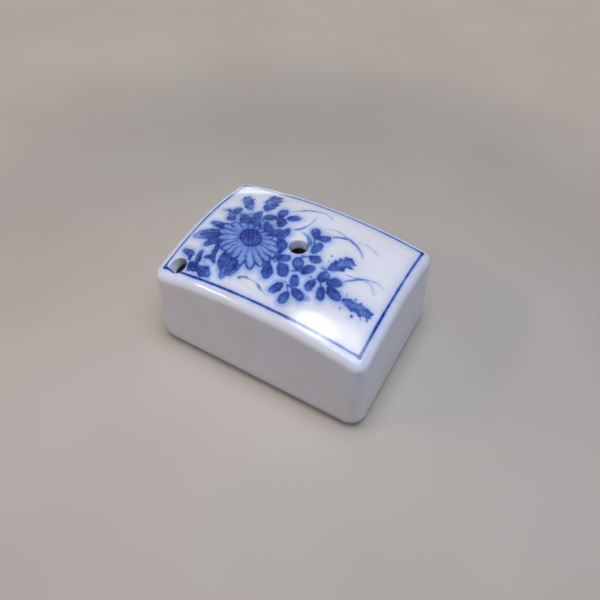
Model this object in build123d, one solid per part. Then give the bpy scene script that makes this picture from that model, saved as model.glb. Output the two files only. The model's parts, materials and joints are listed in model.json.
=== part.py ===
from build123d import *
import os
from math import asin, atan2, degrees, radians, sqrt, tan

# A calligraphy water dropper: a closed porcelain block with a crowned roof, an air hole and a pour hole.
# Millimetres. The origin is the middle of the foot, X runs along the length, Y to the back and Z up.

# Block
foot_length = 65.2           # plan of the walls at the table, before the edges are rounded
foot_width = 47.5
corner_height = 26.5         # where the roof's surface would meet the corners of the walls
length_rise = 3.4            # how much the arch along the length adds in the middle of the roof
width_rise = 3.1             # the same for the arch across the width
wall_draft = 3.5             # degrees; the walls lean inwards as they rise
corner_radius = 3.2          # of the upright edges at the shoulders; the draft makes it larger below
roof_roll = 2.7              # rounding between roof and walls
base_roll = 4.2              # rounding between walls and foot

# Hollow
wall = 3.0
roof_thickness = 3.2
cavity_corner_radius = 2.6   # at the shoulders, as corner_radius is
cavity_roll = 1.8

# Floor and the slip that joins it to the walls
slab_thickness = 3.5
foot_rim = 3.0               # flat bare rim between the base roll and the recess
foot_recess = 0.6
recess_corner_radius = 3.0
seam_thickness = 0.4
bead = 0.9                   # slip squeezed out on the inside
bead_roll = 0.7

# Holes
air_hole = 5.0
air_hole_along = 0.75        # from the middle of the roof
air_hole_across = 0.65
pour_hole = 4.8
pour_hole_from_end = 5.7     # from the shoulder of the end wall
pour_hole_from_front = 4.6   # from the shoulder of the front wall
pour_hole_lean = 28.0        # degrees from upright, its mouth towards the corner
pour_hole_heading = 55.0     # degrees from the length, seen from above
hole_lip = 0.5               # bevel round each hole
hole_margin = 0.3            # bare ring between a lip and the painting
overrun = 2.0                # how far every cutting body passes through

# Painting
colour_thickness = 0.14      # how thick the cobalt lies on the clay
colour_clearance = 0.01      # between the clay and the colour, so that they touch without overlap
line_width = 0.55
line_end_inset = 2.6         # from the shoulders of the end walls to the middle of the line
line_front_inset = 2.95
line_back_inset = 2.6
petal_gap = 0.2              # bare clay left between the heart and its petals

# The brush marks, on a drawing one long, as shares of its length from its middle.
# A mark runs from its first point to its second, and its last number is its width.
drawing_width_share = 0.682
heart_share = (-0.205, -0.037)
heart_size_share = (0.130, 0.094)
heart_turn = -30.0           # degrees
petal_tip_shares = (
    (-0.388, -0.014, 0.024), (-0.383, -0.058, 0.025), (-0.358, -0.101, 0.025), (-0.326, -0.141, 0.024),
    (-0.292, -0.170, 0.020), (-0.256, -0.186, 0.021), (-0.215, -0.198, 0.023), (-0.170, -0.206, 0.025),
    (-0.112, -0.203, 0.026), (-0.077, -0.170, 0.023), (-0.057, -0.133, 0.022), (-0.047, -0.098, 0.021),
    (-0.052, -0.062, 0.020), (-0.078, -0.026, 0.018), (-0.118, 0.004, 0.015), (-0.151, 0.024, 0.013),
    (-0.188, 0.036, 0.013), (-0.226, 0.041, 0.013), (-0.266, 0.040, 0.014), (-0.308, 0.031, 0.016),
    (-0.350, 0.013, 0.020),
)
flower_leaf_shares = (
    (-0.350, -0.030, -0.460, -0.020, 0.044), (-0.370, -0.070, -0.490, -0.142, 0.060),
    (-0.355, -0.075, -0.388, -0.168, 0.058), (-0.255, -0.160, -0.230, -0.262, 0.062),
    (-0.215, -0.170, -0.204, -0.300, 0.064), (-0.165, -0.180, -0.182, -0.270, 0.050),
    (-0.085, -0.005, -0.085, 0.097, 0.046), (-0.130, 0.000, -0.116, 0.072, 0.034),
    (-0.140, 0.000, -0.206, 0.086, 0.044), (-0.090, 0.010, -0.030, -0.046, 0.048),
    (-0.240, 0.028, -0.350, 0.088, 0.048), (-0.273, 0.076, -0.273, 0.146, 0.052),
    (-0.385, 0.074, -0.383, 0.138, 0.052), (-0.370, 0.022, -0.395, 0.068, 0.044),
)
corner_leaf_shares = (
    (-0.396, -0.282, -0.268, -0.305, 0.050), (-0.384, -0.196, -0.360, -0.280, 0.026),
    (-0.394, -0.272, -0.372, -0.318, 0.026), (-0.300, -0.285, -0.300, -0.324, 0.034),
    (-0.472, -0.224, -0.400, -0.232, 0.034), (-0.426, -0.230, -0.406, -0.268, 0.018),
    (-0.328, -0.168, -0.312, -0.226, 0.022), (-0.338, -0.222, -0.282, -0.238, 0.018),
)
clover_leaf_shares = (
    (-0.165, 0.148, -0.178, 0.214, 0.046), (-0.128, 0.150, -0.078, 0.195, 0.046),
    (-0.178, 0.138, -0.236, 0.112, 0.044), (-0.165, 0.150, -0.122, 0.088, 0.044),
    (0.055, 0.097, 0.018, 0.170, 0.048), (0.062, 0.100, 0.115, 0.140, 0.044),
    (0.095, 0.002, 0.088, 0.092, 0.044), (0.090, -0.022, 0.155, -0.018, 0.052),
    (0.104, -0.118, 0.132, -0.055, 0.042), (0.085, -0.112, 0.046, -0.055, 0.048),
    (-0.036, -0.090, 0.022, -0.068, 0.042), (-0.008, -0.118, 0.046, -0.168, 0.052),
    (-0.052, -0.145, -0.020, -0.218, 0.048), (0.082, -0.137, 0.110, -0.198, 0.040),
    (0.168, -0.122, 0.163, -0.184, 0.042), (0.213, -0.142, 0.240, -0.200, 0.036),
    (0.058, -0.205, 0.030, -0.270, 0.046), (0.100, -0.228, 0.098, -0.296, 0.046),
    (0.110, -0.208, 0.178, -0.238, 0.046), (0.190, -0.122, 0.206, -0.050, 0.048),
    (0.225, -0.110, 0.282, -0.072, 0.050), (0.235, -0.128, 0.316, -0.158, 0.052),
)
spike_shares = (
    (-0.325, 0.130, -0.418, 0.240, 0.055), (-0.250, 0.158, -0.278, 0.305, 0.070),
    (0.200, -0.040, 0.262, 0.062, 0.058), (0.318, -0.155, 0.458, -0.150, 0.050),
)
spike_florets = 6            # pairs of small marks along each spike
floret_length_share = 0.62   # of the spike's width
floret_width_share = 0.26
floret_lean = 40.0           # degrees from the spike's line
# A blade of grass has a last number more: how far its middle bows out, to the left as it runs.
blade_shares = (
    (-0.138, 0.225, 0.045, 0.270, 0.012, 0.040), (-0.052, 0.104, -0.018, 0.245, 0.011, -0.014),
    (0.118, 0.150, 0.305, 0.095, 0.014, 0.050), (0.060, 0.188, 0.170, 0.190, 0.009, 0.012),
    (0.235, 0.196, 0.350, 0.166, 0.009, 0.012), (0.288, -0.062, 0.450, 0.000, 0.013, 0.034),
    (0.360, -0.010, 0.425, -0.058, 0.008, 0.010), (-0.130, -0.262, -0.048, -0.256, 0.013, 0.012),
    (-0.046, -0.256, 0.018, -0.290, 0.010, 0.006), (-0.014, 0.104, 0.052, 0.050, 0.018, 0.006),
)

# Worked out from the sizes above
crown_height = corner_height + length_rise + width_rise
shoulder_lean = corner_height * tan(radians(wall_draft))
shoulder_length = foot_length - 2 * shoulder_lean
shoulder_width = foot_width - 2 * shoulder_lean
length_arc = (shoulder_length**2 / 4 + length_rise**2) / (2 * length_rise)
width_arc = (shoulder_width**2 / 4 + width_rise**2) / (2 * width_rise)
hub_height = crown_height - length_arc
field_length = shoulder_length - 2 * line_end_inset
field_width = shoulder_width - line_front_inset - line_back_inset
pour_hole_along = pour_hole_from_end - shoulder_length / 2
pour_hole_across = pour_hole_from_front - shoulder_width / 2
on_base = (Align.CENTER, Align.CENTER, Align.MIN)


def roof_plane(x, y):
    """The plane that touches the roof over a place in the plan, with its Z outwards."""
    arch = sqrt(width_arc**2 - y**2)
    reach = crown_height - width_arc + arch - hub_height
    rise = sqrt(reach**2 - x**2)
    return Plane((x, y, hub_height + rise), z_dir=(arch * x / reach, y, arch * rise / reach))


def under_roof(drop):
    """All that lies below the roof when it is lowered by a drop: an arch, turned about a far hub."""
    half = foot_width / 2 + overrun
    top = crown_height - drop
    arc = width_arc - drop
    side = top - arc + sqrt(arc**2 - half**2)
    reach = degrees(asin((foot_length / 2 + overrun) / (-hub_height - overrun)))
    outline = Polyline((0, -half, side), (0, -half, -overrun), (0, half, -overrun), (0, half, side))
    outline += ThreePointArc((0, half, side), (0, 0, top), (0, -half, side))
    hub = Axis((0, 0, hub_height), (0, 1, 0))
    return revolve(make_face(outline).rotate(hub, -reach), hub, 2 * reach)


def leaning_block(inset, radius):
    """A block taller than the roof, whose sides lie an inset inside the outer faces of the walls."""
    plan = RectangleRounded(foot_length - 2 * inset, foot_width - 2 * inset, radius + shoulder_lean)
    return extrude(plan, crown_height + overrun, taper=wall_draft)


def arched_block(inset, radius, roll, drop):
    """The same under the lowered roof, with the roof's edge rounded."""
    block = leaning_block(inset, radius) & under_roof(drop)
    return fillet(block.faces().sort_by(Axis.Z)[-1].outer_wire().edges(), roll)


def slice_between(body, low, high):
    """What a body has between two heights."""
    return body & Pos(0, 0, low) * Box(foot_length, foot_width, high - low, align=on_base)


def hole(mouth, outward, diameter):
    """What a hole cuts: its bore, and a bevel that starts inside the bore and ends above the roof."""
    radius = diameter / 2
    depth = roof_thickness + wall
    bore = Pos(0, 0, -depth) * Cylinder(radius, depth + overrun, align=on_base)
    bevel = Cone(radius - hole_lip, radius + 2 * hole_lip, 3 * hole_lip, align=on_base)
    return [Plane(mouth.origin, z_dir=outward) * bore, mouth * Pos(0, 0, -2 * hole_lip) * bevel]


def place(along_share, across_share):
    return Vector(along_share * field_length, across_share / drawing_width_share * field_width)


def oval(start, end, width):
    """A rounded brush mark between two points of the plan."""
    reach = end - start
    turn = degrees(atan2(reach.Y, reach.X))
    return Pos(start + reach / 2) * Rot(0, 0, turn) * Ellipse(reach.length / 2, width / 2)


def blade(start, end, width, bow):
    """A pointed brush mark that bows to its left."""
    reach = end - start
    left = Vector(-reach.Y, reach.X).normalized()
    middle = start + reach / 2 + left * bow
    half = left * width / 2
    return make_face(ThreePointArc(start, middle + half, end) + ThreePointArc(end, middle - half, start))


def marks(shares):
    return [oval(place(*row[:2]), place(*row[2:4]), row[4] * field_length) for row in shares]


def petals():
    """Petals from the rim of the heart to their tips."""
    heart = place(*heart_share)
    half_length = heart_size_share[0] * field_length / 2
    half_width = heart_size_share[1] * field_length / 2
    shapes = []
    for along, across, width_share in petal_tip_shares:
        reach = place(along, across) - heart
        turned = reach.rotate(Axis.Z, -heart_turn)
        rim = 1 / sqrt((turned.X / half_length) ** 2 + (turned.Y / half_width) ** 2)
        root = heart + reach * (rim + petal_gap / reach.length)
        shapes.append(oval(root, heart + reach, width_share * field_length))
    return shapes


def spike(row):
    """A flower spike: pairs of florets that lean out from its line, and one at its tip."""
    start, end, width = place(*row[:2]), place(*row[2:4]), row[4] * field_length
    reach = end - start
    floret = width * floret_length_share
    shapes = []
    for step in range(spike_florets):
        root = start + reach * step / spike_florets
        for side in (-1, 1):
            tip = root + reach.normalized().rotate(Axis.Z, side * floret_lean) * floret
            shapes.append(oval(root, tip, width * floret_width_share))
    return shapes + [oval(end - reach.normalized() * floret, end, width * floret_width_share)]


# The three pieces of clay and slip
outside = arched_block(0, corner_radius, roof_roll, 0)
outside = fillet(outside.faces().sort_by(Axis.Z)[0].outer_wire().edges(), base_roll)
hollow = arched_block(wall, cavity_corner_radius, cavity_roll, roof_thickness)
seam_top = slab_thickness + seam_thickness

upward = Vector(0, 0, 1)
air_mouth = roof_plane(air_hole_along, air_hole_across)
pour_mouth = roof_plane(pour_hole_along, pour_hole_across)
pour_outward = upward.rotate(Axis.Y, -pour_hole_lean).rotate(Axis.Z, pour_hole_heading)
upper_shell = slice_between(outside, seam_top, crown_height + overrun) - hollow
upper_shell -= hole(air_mouth, upward, air_hole) + hole(pour_mouth, pour_outward, pour_hole)

recess_inset = base_roll + foot_rim
recess_length = foot_length - 2 * recess_inset
recess_width = foot_width - 2 * recess_inset
recess = RectangleRounded(recess_length, recess_width, recess_corner_radius)
base_slab = slice_between(outside, 0, slab_thickness) - extrude(recess, foot_recess)

luting_seam = slice_between(outside, slab_thickness, seam_top) - hollow
inside_bead = leaning_block(wall + bead, cavity_corner_radius - bead)
squeezed = slice_between(hollow, slab_thickness, seam_top + bead) - inside_bead
top_face = squeezed.faces().sort_by(Axis.Z)[-1]
squeezed = fillet(top_face.inner_wires()[0].edges(), bead_roll)
luting_seam += squeezed

# The painting, laid on the roof
line_middle = (line_front_inset - line_back_inset) / 2
border = Rectangle(field_length + line_width, field_width + line_width)
border -= Rectangle(field_length - line_width, field_width - line_width)
heart_shape = Pos(place(*heart_share)) * Rot(0, 0, heart_turn) * Ellipse(
    heart_size_share[0] * field_length / 2, heart_size_share[1] * field_length / 2)
painted = {
    "painted_border_line": [Pos(0, line_middle) * border],
    "painted_chrysanthemum_heart": [heart_shape],
    "painted_chrysanthemum_petals": petals(),
    "painted_chrysanthemum_leaves": marks(flower_leaf_shares),
    "painted_clover_leaves": marks(clover_leaf_shares),
    "painted_corner_leaf": marks(corner_leaf_shares),
    "painted_flower_spikes": [shape for row in spike_shares for shape in spike(row)],
    "painted_grass_blades": [
        blade(place(*row[:2]), place(*row[2:4]), row[4] * field_length, row[5] * field_length)
        for row in blade_shares],
}
bare = Sketch() + [
    Pos(mouth.origin.X, mouth.origin.Y) * Circle(diameter / 2 + hole_lip + hole_margin)
    for mouth, diameter in ((air_mouth, air_hole), (pour_mouth, pour_hole))]
colour = under_roof(-colour_clearance - colour_thickness) - under_roof(-colour_clearance)
nodes = {"upper_shell": upper_shell, "base_slab": base_slab, "luting_seam": luting_seam}
for name, shapes in painted.items():
    group = Sketch() + shapes - bare
    bare += group
    nodes[name] = Compound((extrude(group, crown_height + overrun) & colour).solids())

os.makedirs("parts", exist_ok=True)
for name, body in nodes.items():
    export_step(body, "parts/" + name + ".step")
    print(name, len(body.solids()), "solids", round(body.volume, 1), "cubic mm")
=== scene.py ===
# %% [markdown]
# # A porcelain water dropper
# A calligrapher keeps a spoonful of water in this block and lets it fall on the ink stone drop by drop.
# It is slab-built porcelain: a shell with an arched roof, a floor, and slip that joins the two. Flowers are
# painted on the roof in cobalt and the whole is covered by a clear glaze. This lesson builds the three
# pieces of clay as smooth meshes, paints the cobalt into one of them, and glazes them with shader nodes. It
# starts by loading the block's solids, because every piece keeps to their sizes and places.

# %% Load the frame
import json
import math

import bmesh
import bpy
import numpy as np
from mathutils import Matrix, Vector
from mathutils.geometry import delaunay_2d_cdt


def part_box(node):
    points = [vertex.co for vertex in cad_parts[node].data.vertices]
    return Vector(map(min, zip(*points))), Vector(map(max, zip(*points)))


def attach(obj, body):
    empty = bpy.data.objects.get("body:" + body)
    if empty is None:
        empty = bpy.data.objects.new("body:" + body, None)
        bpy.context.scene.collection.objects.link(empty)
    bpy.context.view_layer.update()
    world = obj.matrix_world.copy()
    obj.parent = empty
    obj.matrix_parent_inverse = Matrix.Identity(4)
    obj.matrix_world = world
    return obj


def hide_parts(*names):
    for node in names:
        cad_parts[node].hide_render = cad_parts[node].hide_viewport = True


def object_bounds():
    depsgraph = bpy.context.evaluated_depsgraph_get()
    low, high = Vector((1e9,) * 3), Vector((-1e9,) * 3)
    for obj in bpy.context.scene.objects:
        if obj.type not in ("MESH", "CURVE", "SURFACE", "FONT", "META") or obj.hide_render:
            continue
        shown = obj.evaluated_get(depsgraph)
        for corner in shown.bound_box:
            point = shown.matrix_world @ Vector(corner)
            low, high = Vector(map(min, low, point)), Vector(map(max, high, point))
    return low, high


MM = 0.001


def in_mm(metres):
    """A place or a size in millimetres, to print."""
    return [round(c / MM, 2) for c in metres]


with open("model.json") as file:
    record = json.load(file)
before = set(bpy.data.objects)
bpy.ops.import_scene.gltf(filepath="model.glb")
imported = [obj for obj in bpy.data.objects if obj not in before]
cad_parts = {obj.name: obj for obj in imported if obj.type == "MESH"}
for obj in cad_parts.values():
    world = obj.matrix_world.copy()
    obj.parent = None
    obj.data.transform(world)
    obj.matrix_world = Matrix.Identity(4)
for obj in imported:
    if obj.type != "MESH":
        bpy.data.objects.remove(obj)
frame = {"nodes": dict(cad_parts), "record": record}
cad_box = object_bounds()
print("frame:", len(frame["nodes"]), "nodes, box in mm", in_mm(cad_box[1] - cad_box[0]))

# %% [markdown]
# ## The view
# The photograph looks down on the block from in front and to the right. A camera could be aimed by eye, but
# it is easiest to repeat from what it looks at: a point near the middle of the block, two angles, a distance
# and a small tilt. These came from fitting the block's outline and its painted border, so they hold to about
# a pixel.

# %% Camera
AIM = Vector((0.66, 1.69, 10.0)) * MM
AZIMUTH, ELEVATION, TILT = (math.radians(a) for a in (29.53, 50.45, 0.33))
DISTANCE = 162.6 * MM
SENSOR, LENS = 36.0, 33.5    # mm
NEAREST = 5 * MM             # what is nearer isn't rendered

back = Vector((
    math.sin(AZIMUTH) * math.cos(ELEVATION),
    -math.cos(AZIMUTH) * math.cos(ELEVATION),
    math.sin(ELEVATION),
))
right = Vector((0, 0, 1)).cross(back).normalized()
right.rotate(Matrix.Rotation(TILT, 3, back))
above = back.cross(right)
turned = Matrix((right, above, back)).transposed().to_4x4()


def in_scene(name, data):
    """A new object in the scene, made of a camera, a mesh or a light."""
    thing = bpy.data.objects.new(name, data)
    bpy.context.scene.collection.objects.link(thing)
    return thing


camera = in_scene("camera", bpy.data.cameras.new("camera"))
camera.matrix_world = Matrix.Translation(AIM + back * DISTANCE) @ turned
camera.data.lens = LENS
camera.data.sensor_width = SENSOR
camera.data.clip_start = NEAREST
bpy.context.scene.camera = camera
bpy.context.scene.view_settings.view_transform = "Standard"
print("camera at, in mm,", in_mm(camera.location))

# %% [markdown]
# ## The block's shape
# The real walls lean in by a few degrees, as walls do that came out of a mould, and the roof is arched both
# ways. A box with bevels and subdivision would come near, but glaze shows every dent in a mesh. So each
# surface is a formula: the roof is an arc swung about an axis, and a ball rolled along inside its edge
# rounds it. All sizes are millimetres.

# %% Sizes of the clay
foot_length, foot_width = 65.2, 47.5          # between the walls' faces, if they ran straight to the desk
corner_height = 26.5                          # of the roof's corners, before they are rolled
length_rise, width_rise = 3.4, 3.1            # of the roof's arches above its corners
wall_draft = math.radians(3.5)                # how far the walls lean in
base_roll = 4.2                               # radius between wall and foot
wall, roof_thickness = 3.0, 3.2
slab_thickness, seam_thickness = 3.5, 0.4
bead, bead_roll = 0.9, 0.7                    # the slip that was squeezed out inside, and its rounding
foot_rim, foot_recess, recess_corner = 3.0, 0.6, 3.0

shoulder_lean = corner_height * math.tan(wall_draft)
shoulder_length = foot_length - 2 * shoulder_lean
shoulder_width = foot_width - 2 * shoulder_lean
crown_height = corner_height + length_rise + width_rise
length_arc = (shoulder_length**2 / 4 + length_rise**2) / (2 * length_rise)
width_arc = (shoulder_width**2 / 4 + width_rise**2) / (2 * width_rise)
hub_height = crown_height - length_arc        # of the axis that the width's arc is swung about
base_top = base_roll * (1 + math.sin(wall_draft))
seam_top = slab_thickness + seam_thickness
frame_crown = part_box("upper_shell")[1].z / MM
print("crown at", round(crown_height, 2), "and in the frame at", round(frame_crown, 2))


def arch(x, y, drop):
    """Height of the roof's surface lowered by a drop."""
    reach = crown_height - width_arc + np.sqrt((width_arc - drop) ** 2 - y**2) - hub_height
    return hub_height + np.sqrt(reach**2 - x**2)


# %% [markdown]
# ## A skin with rolled edges
# Outside and inside are the same kind of skin with other sizes. A bevel modifier could roll their edges, but
# it doesn't know how to go round a corner under an arched roof. Seen from above, each skin is a rectangle,
# its core, grown by a distance along outward normals. That turns the whole shape into sections: pick a place
# on the core and a direction, and wall, roll and roof are a line, a quarter round and an arc in one plane.

# %% Skins
SETTLING = 8                 # moves of the rolled ball until it touches both wall and roof
SLOPE_STEP = 0.01            # mm, over which a slope is measured
NO_LENGTH = 1e-9             # mm, where a direction can't be told


class Skin:
    """A rounded surface of the block: how far it lies inside walls and roof, and its radii."""

    def __init__(self, inset, corner, roll, drop):
        self.grown = corner + shoulder_lean
        self.core = np.array([foot_length, foot_width]) / 2 - inset - self.grown
        self.roll, self.drop = roll, drop

    def wall_at(self, z):
        """How far the wall stands out from the core at a height."""
        return self.grown - z * math.tan(wall_draft)

    def ball(self, core, normal):
        """In each section, how far out and how high the rolled ball's centre is, how much its path stretches
        the roll upwards, and how far out the ball leaves the roof."""
        z = np.full(len(core), corner_height)
        for _ in range(SETTLING):
            out = self.grown - (self.roll + z * math.sin(wall_draft)) / math.cos(wall_draft)
            centre = core + out[:, None] * normal
            z = arch(*centre.T, self.drop + self.roll)
        side = np.stack([-normal[:, 1], normal[:, 0]], 1)
        path_slope, out_slope = (
            (arch(*(centre + SLOPE_STEP * way).T, self.drop + self.roll) - z) / SLOPE_STEP
            for way in (side, normal))
        stretch = np.sqrt(1 + path_slope**2)
        leaves = out - self.roll * out_slope / np.sqrt(1 + path_slope**2 + out_slope**2)
        return out, z, stretch, leaves

    def height(self, points):
        """Height of the roof and of the upper part of its roll over points of the plan."""
        core = np.clip(points, -self.core, self.core)
        offset = points - core
        out = np.linalg.norm(offset, axis=1)
        normal = offset / np.maximum(out, NO_LENGTH)[:, None]
        centre, z, stretch, leaves = self.ball(core, normal)
        rolled = z + stretch * np.sqrt(np.maximum(self.roll**2 - (out - centre) ** 2, 0))
        return np.where(out > leaves, rolled, arch(*points.T, self.drop))


outside = Skin(inset=0, corner=3.2, roll=2.7, drop=0)
cavity = Skin(inset=wall, corner=2.6, roll=1.8, drop=roof_thickness)
middle = np.zeros((1, 2))
thickness = outside.height(middle) - cavity.height(middle)
print("the roof is", round(float(thickness[0]), 2), "mm thick at its middle")

# %% [markdown]
# ## Walking round the block
# A wall's grid could be cut from a plane for each side, but then the corners would have to be sewn. Instead
# every ring of vertices follows the same walk: along a side with one normal, then round a corner while the
# normal turns. Rings that share the walk have the same count, so bands of quads join any two of them.

# %% Rings
SIDE_STEP = 0.8              # mm between vertices along a side
CORNER_STEPS = 14            # for each quarter turn


def walk(core):
    """Places on a core's edge, and outward normals, counter-clockwise from the front right corner."""
    counts = [round(2 * half / SIDE_STEP) for half in outside.core[::-1]] * 2
    corners = np.array([(1, -1), (1, 1), (-1, 1), (-1, -1), (1, -1)]) * core
    places, turns = [], []
    for side, count in enumerate(counts):
        share = np.arange(count)[:, None] / count
        places.append(corners[side] * (1 - share) + corners[side + 1] * share)
        places.append(np.tile(corners[side + 1], (CORNER_STEPS, 1)))
        turns.append(np.full(count, float(side)))
        turns.append(side + np.arange(CORNER_STEPS) / CORNER_STEPS)
    angle = np.concatenate(turns) * math.pi / 2
    return np.concatenate(places), np.stack([np.cos(angle), np.sin(angle)], 1)


def ring(core, out, z):
    """A ring of points at a distance out from a core, at a height."""
    place, normal = walk(core)
    flat = place + np.broadcast_to(out, len(place))[:, None] * normal
    return np.column_stack([flat, np.broadcast_to(z, len(flat))])


def rolled_rings(skin, start, count):
    """Rings down a roof's roll, from an angle off the vertical to the wall."""
    centre, z, stretch, _ = skin.ball(*walk(skin.core))
    for angle in np.linspace(start, math.pi / 2 - wall_draft, count):
        out, up = skin.roll * math.sin(angle), stretch * skin.roll * math.cos(angle)
        yield ring(skin.core, centre + out, z + up)


def wall_rings(skin, heights):
    """Rings on a wall at some heights."""
    for z in heights:
        yield ring(skin.core, skin.wall_at(z), z)


def base_rings(high, low, count):
    """Rings down the roll between wall and foot, from one height to another."""
    centre = outside.grown - base_top / math.cos(wall_draft)
    start, end = (math.acos(1 - z / base_roll) for z in (high, low))
    for angle in np.linspace(start, end, count):
        yield ring(outside.core, centre + base_roll * math.sin(angle), base_roll * (1 - math.cos(angle)))


print("a ring has", len(walk(outside.core)[0]), "vertices")

# %% [markdown]
# ## Collecting vertices and faces
# A mesh is two lists, of points and of faces that name points by number. The small class below keeps both
# and knows three ways to add faces: bands between rings, a flat lid, and a sheet. A sheet is a surface over
# the plan with rings for its edges. Rows of quads would end raggedly at a round hole, so it is filled by
# Delaunay triangles, which suit any mix of fine and coarse.

# %% Points of the plan
def within(loop, points):
    """Which points of the plan lie inside a loop."""
    odd = np.zeros(len(points), bool)
    x, y = points.T
    for (x1, y1), (x2, y2) in zip(loop, np.roll(loop, -1, axis=0)):
        if y1 != y2:
            odd ^= ((y1 > y) != (y2 > y)) & (x < x1 + (y - y1) * (x2 - x1) / (y2 - y1))
    return odd


def between(loops, points):
    """Which points of the plan lie inside the first loop and outside the others."""
    keep = within(loops[0], points)
    for loop in loops[1:]:
        keep &= ~within(loop, points)
    return keep


def plan_grid(half, step):
    """Points over a rectangle of the plan in staggered rows, which give even triangles."""
    rows = np.arange(-half[1], half[1], step * math.sin(math.pi / 3))
    columns = np.arange(-half[0], half[0], step)
    return np.concatenate([np.column_stack([columns + step / 2 * (i % 2), np.full(len(columns), y)])
                           for i, y in enumerate(rows)])


print("a grid 1 mm apart over the core has", len(plan_grid(outside.core, 1.0)), "points")

# %% Mesh builder
SHARP = math.radians(35)     # edges that turn more are shaded sharp
SAME_POINT = 1e-7            # mm


class Clay:
    """Points and faces of one piece, in millimetres."""

    def __init__(self):
        self.points, self.faces = [], []

    def add(self, points):
        """The numbers that some new points get."""
        start = len(self.points)
        self.points += [tuple(p) for p in points]
        return list(range(start, len(self.points)))

    def bands(self, rings):
        """Quads between each ring and the next; a ring is points or the numbers of points already there."""
        numbers = [r if isinstance(r, list) else self.add(r) for r in rings]
        for upper, lower in zip(numbers, numbers[1:]):
            for i in range(len(upper)):
                j = (i + 1) % len(upper)
                self.faces.append((lower[i], lower[j], upper[j], upper[i]))
        return numbers[0], numbers[-1]

    def lid(self, numbers):
        """One flat face across a ring."""
        self.faces.append(tuple(numbers))

    def sheet(self, edge, holes, filling, height, clearance):
        """Triangles over the plan inside one ring and outside others, through filling points."""
        loops = [edge] + holes
        flat_loops = [np.array([self.points[n][:2] for n in loop]) for loop in loops]
        keep = between(flat_loops, filling)
        for corner in np.concatenate(flat_loops):
            keep &= np.sum((filling - corner) ** 2, axis=1) > clearance**2
        filling = filling[keep]
        numbers = [n for loop in loops for n in loop] + self.add(np.column_stack([filling, height(filling)]))
        links, start = [], 0
        for loop in loops:
            links += [(start + i, start + (i + 1) % len(loop)) for i in range(len(loop))]
            start += len(loop)
        plan = np.concatenate(flat_loops + [filling])
        found = delaunay_2d_cdt([Vector(p) for p in plan], links, [], 0, SAME_POINT)
        triangles = np.array([[found[3][v][0] for v in face] for face in found[2]])
        keep = between(flat_loops, plan[triangles].mean(axis=1))
        self.faces += [tuple(numbers[v] for v in triangle) for triangle in triangles[keep]]

    def build(self, name):
        """The Blender object, in metres, smooth but for its sharp edges."""
        mesh = bpy.data.meshes.new(name)
        mesh.from_pydata([Vector(p) * MM for p in self.points], [], self.faces)
        shaped = bmesh.new()
        shaped.from_mesh(mesh)
        bmesh.ops.recalc_face_normals(shaped, faces=shaped.faces)
        open_edges = sum(not e.is_manifold for e in shaped.edges)
        shaped.to_mesh(mesh)
        shaped.free()
        mesh.shade_smooth()
        mesh.set_sharp_from_angle(angle=SHARP)
        piece = in_scene(name, mesh)
        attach(piece, "root")
        print(name, "has", len(mesh.vertices), "vertices,", len(mesh.polygons), "faces,",
              open_edges, "open edges")
        return piece


print("edges that turn more than", round(math.degrees(SHARP)), "degrees are sharp")

# %% [markdown]
# ## The two holes
# A fingertip on the air hole in the middle holds the water back, and the pour hole at the corner lets it
# drip. Both were pierced with a tube while the clay was leather-hard, and the glaze pooled and softened
# their rims. A Boolean modifier would cut them, but it leaves slivers round the rim, which glaze would show.
# So each ring of a rim is found by sliding a circle along the bore until it meets the roof, and the rim
# keeps its width where the bore leans. The frame knows where the bores are.

# %% Holes
LIP = 0.5                    # mm, how far the rim is rounded
LIP_RINGS = 8
HOLE_STEPS = 112             # vertices round a hole
SLIDES = 30                  # moves of a point along the bore until it lies on the skin

bores = [m for m in frame["record"]["mounts"] if m["kind"] == "bore"]


def meet(skin, points, axis):
    """Points slid along an axis onto a skin."""
    for _ in range(SLIDES):
        gap = skin.height(points[:, :2]) - points[:, 2]
        points = points + gap[:, None] * axis / axis[2]
    return points


def hole_rings(bore):
    """Rings over a hole's rim and down its bore to the cavity."""
    axis = np.array(bore["axis"], float)
    middle = np.array(bore["pos_m"]) / MM
    radius = bore["dims"]["r_mm"]
    across = np.cross(axis, (0, 1, 0))
    across /= np.linalg.norm(across)
    turn = np.linspace(0, 2 * math.pi, HOLE_STEPS, endpoint=False)[:, None]
    spokes = np.cos(turn) * across + np.sin(turn) * np.cross(axis, across)
    for angle in np.linspace(0, math.pi / 2, LIP_RINGS):
        rim = meet(outside, middle + (radius + LIP * (1 - math.sin(angle))) * spokes, axis)
        yield rim - LIP * (1 - math.cos(angle)) * axis
    yield meet(cavity, middle + radius * spokes, axis)


for bore in bores:
    lean = math.degrees(math.acos(bore["axis"][2]))
    print(bore["name"], "has radius", bore["dims"]["r_mm"], "mm and leans", round(lean), "degrees")

# %% [markdown]
# ## The shell
# Roof and walls are one piece of clay. Its skin runs from the painted roof over the rolled edge, down the
# wall to the seam, in under the wall and up again inside, so the shell is a closed solid with real walls. A
# Solidify modifier would thicken a skin too, but the inside has radii of its own. The roof's grid is finer
# than its shape needs, because the painting is kept at its vertices and has to look like brushwork.

# %% Shell's walls
ROLL_START, INNER_ROLL_START = math.radians(38), math.radians(45)     # off the vertical
ROLL_RINGS, INNER_ROLL_RINGS = 15, 6
HOLD = 0.3                   # mm from a roll to the ring that keeps the wall flat
WALL_HEIGHTS, INNER_WALL_HEIGHT = (20.0, 13.0, 7.0), 20.0

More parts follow.
